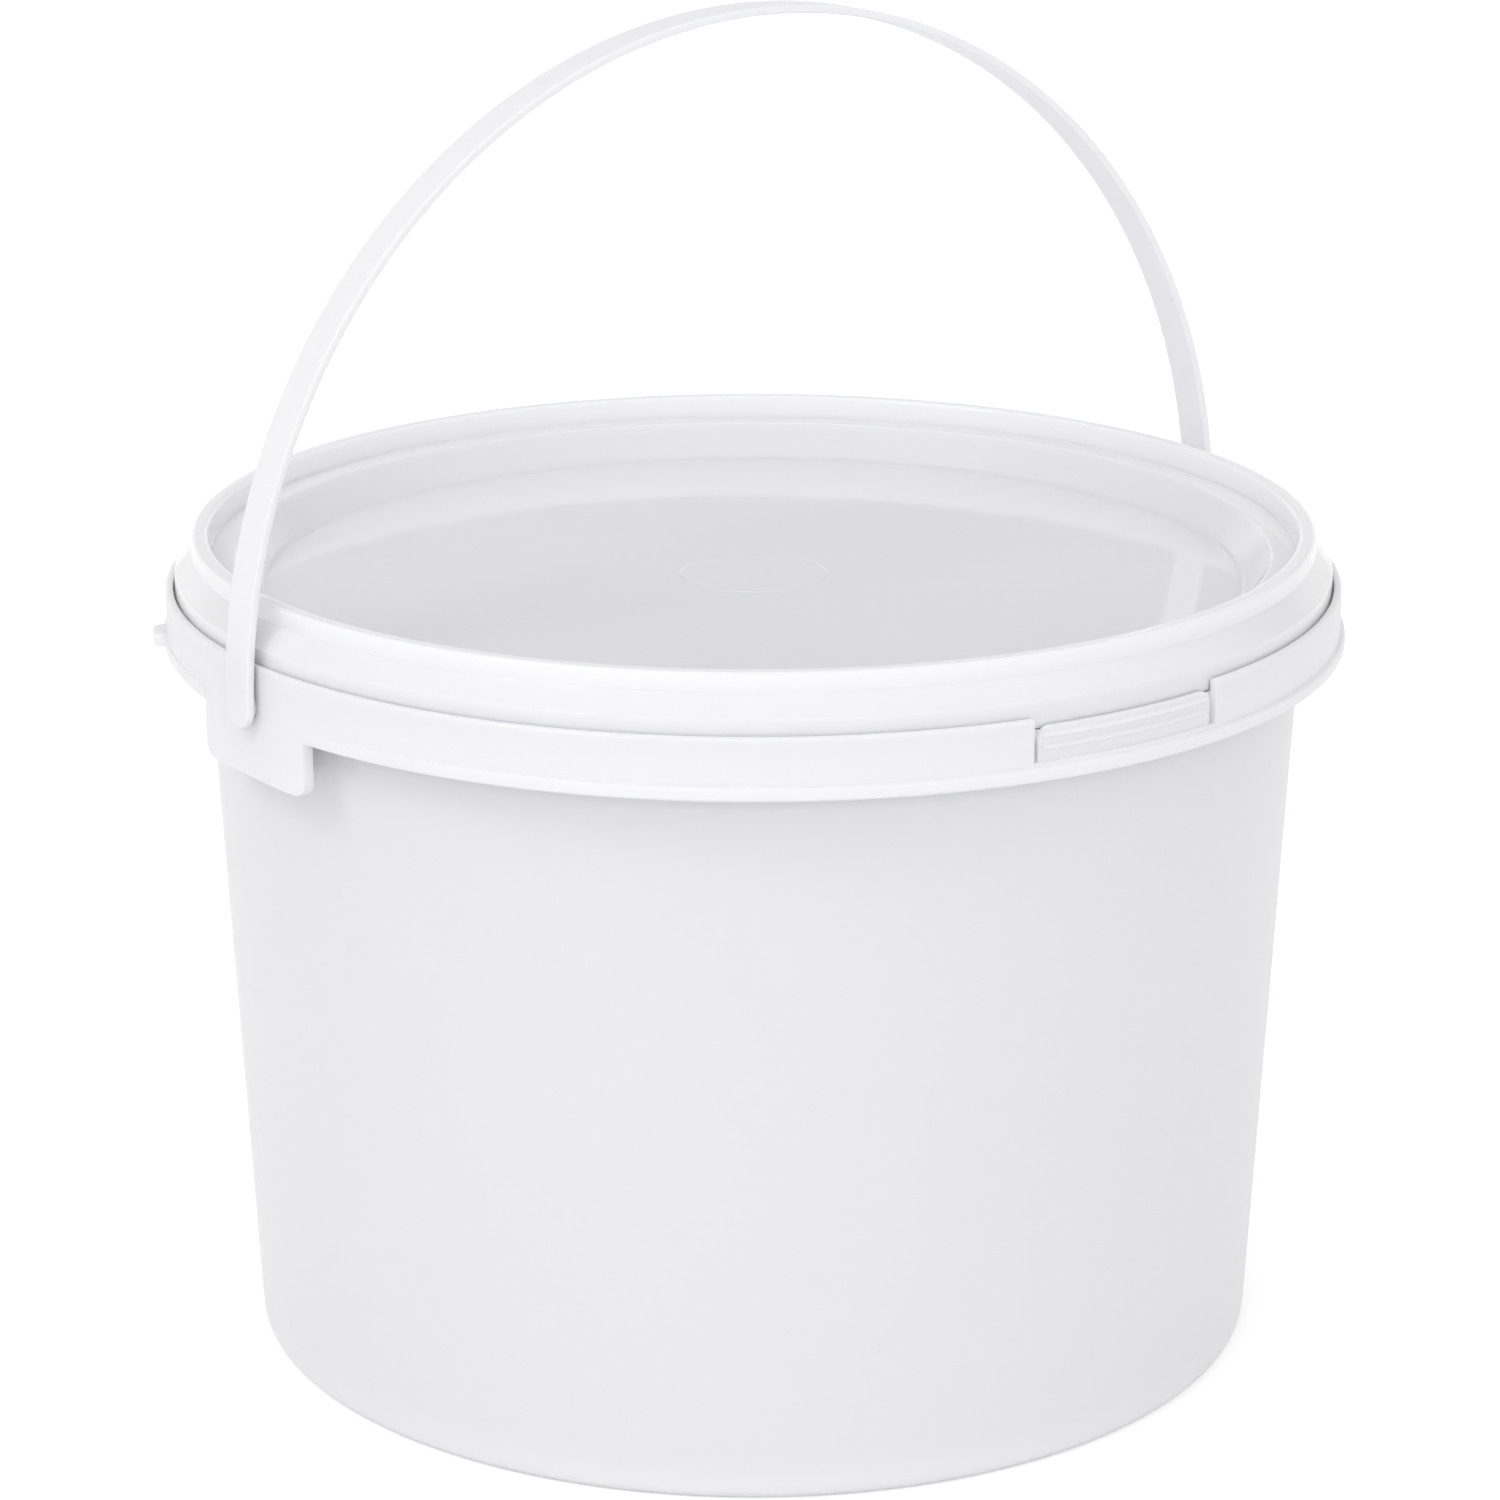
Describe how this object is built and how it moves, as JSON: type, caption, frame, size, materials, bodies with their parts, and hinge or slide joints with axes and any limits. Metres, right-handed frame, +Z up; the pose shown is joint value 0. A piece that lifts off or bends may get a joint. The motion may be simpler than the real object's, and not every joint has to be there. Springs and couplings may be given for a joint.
{
  "type": "plastic bucket",
  "caption": "Round tapered plastic pail with a press-fit stacking lid, a tamper-evident collar with a tear tab, and a flat strip handle that swings on ears.",
  "frame": {"origin": "centre of the foot, on the surface that the bucket stands on", "axes": "+Z up along the bucket's axis, X along the axis that the handle turns on, -Y towards the tear tab"},
  "size_m": [0.2038, 0.202, 0.2288],
  "materials": {
    "bucket_plastic": "moulded white polypropylene, semi-gloss",
    "lid_plastic": "moulded white polypropylene, glossy",
    "handle_plastic": "moulded white polypropylene, semi-gloss"
  },
  "bodies": {
    "bucket": {"bucket": "bucket_plastic", "lid": "lid_plastic"},
    "handle": {"handle": "handle_plastic"}
  },
  "joints": [
    {"name": "handle_swing", "type": "hinge", "parent": "bucket", "child": "handle", "pos_m": [0, 0, 0.1256], "axis": [1, 0, 0], "range_deg": [-84, 111]}
  ]
}
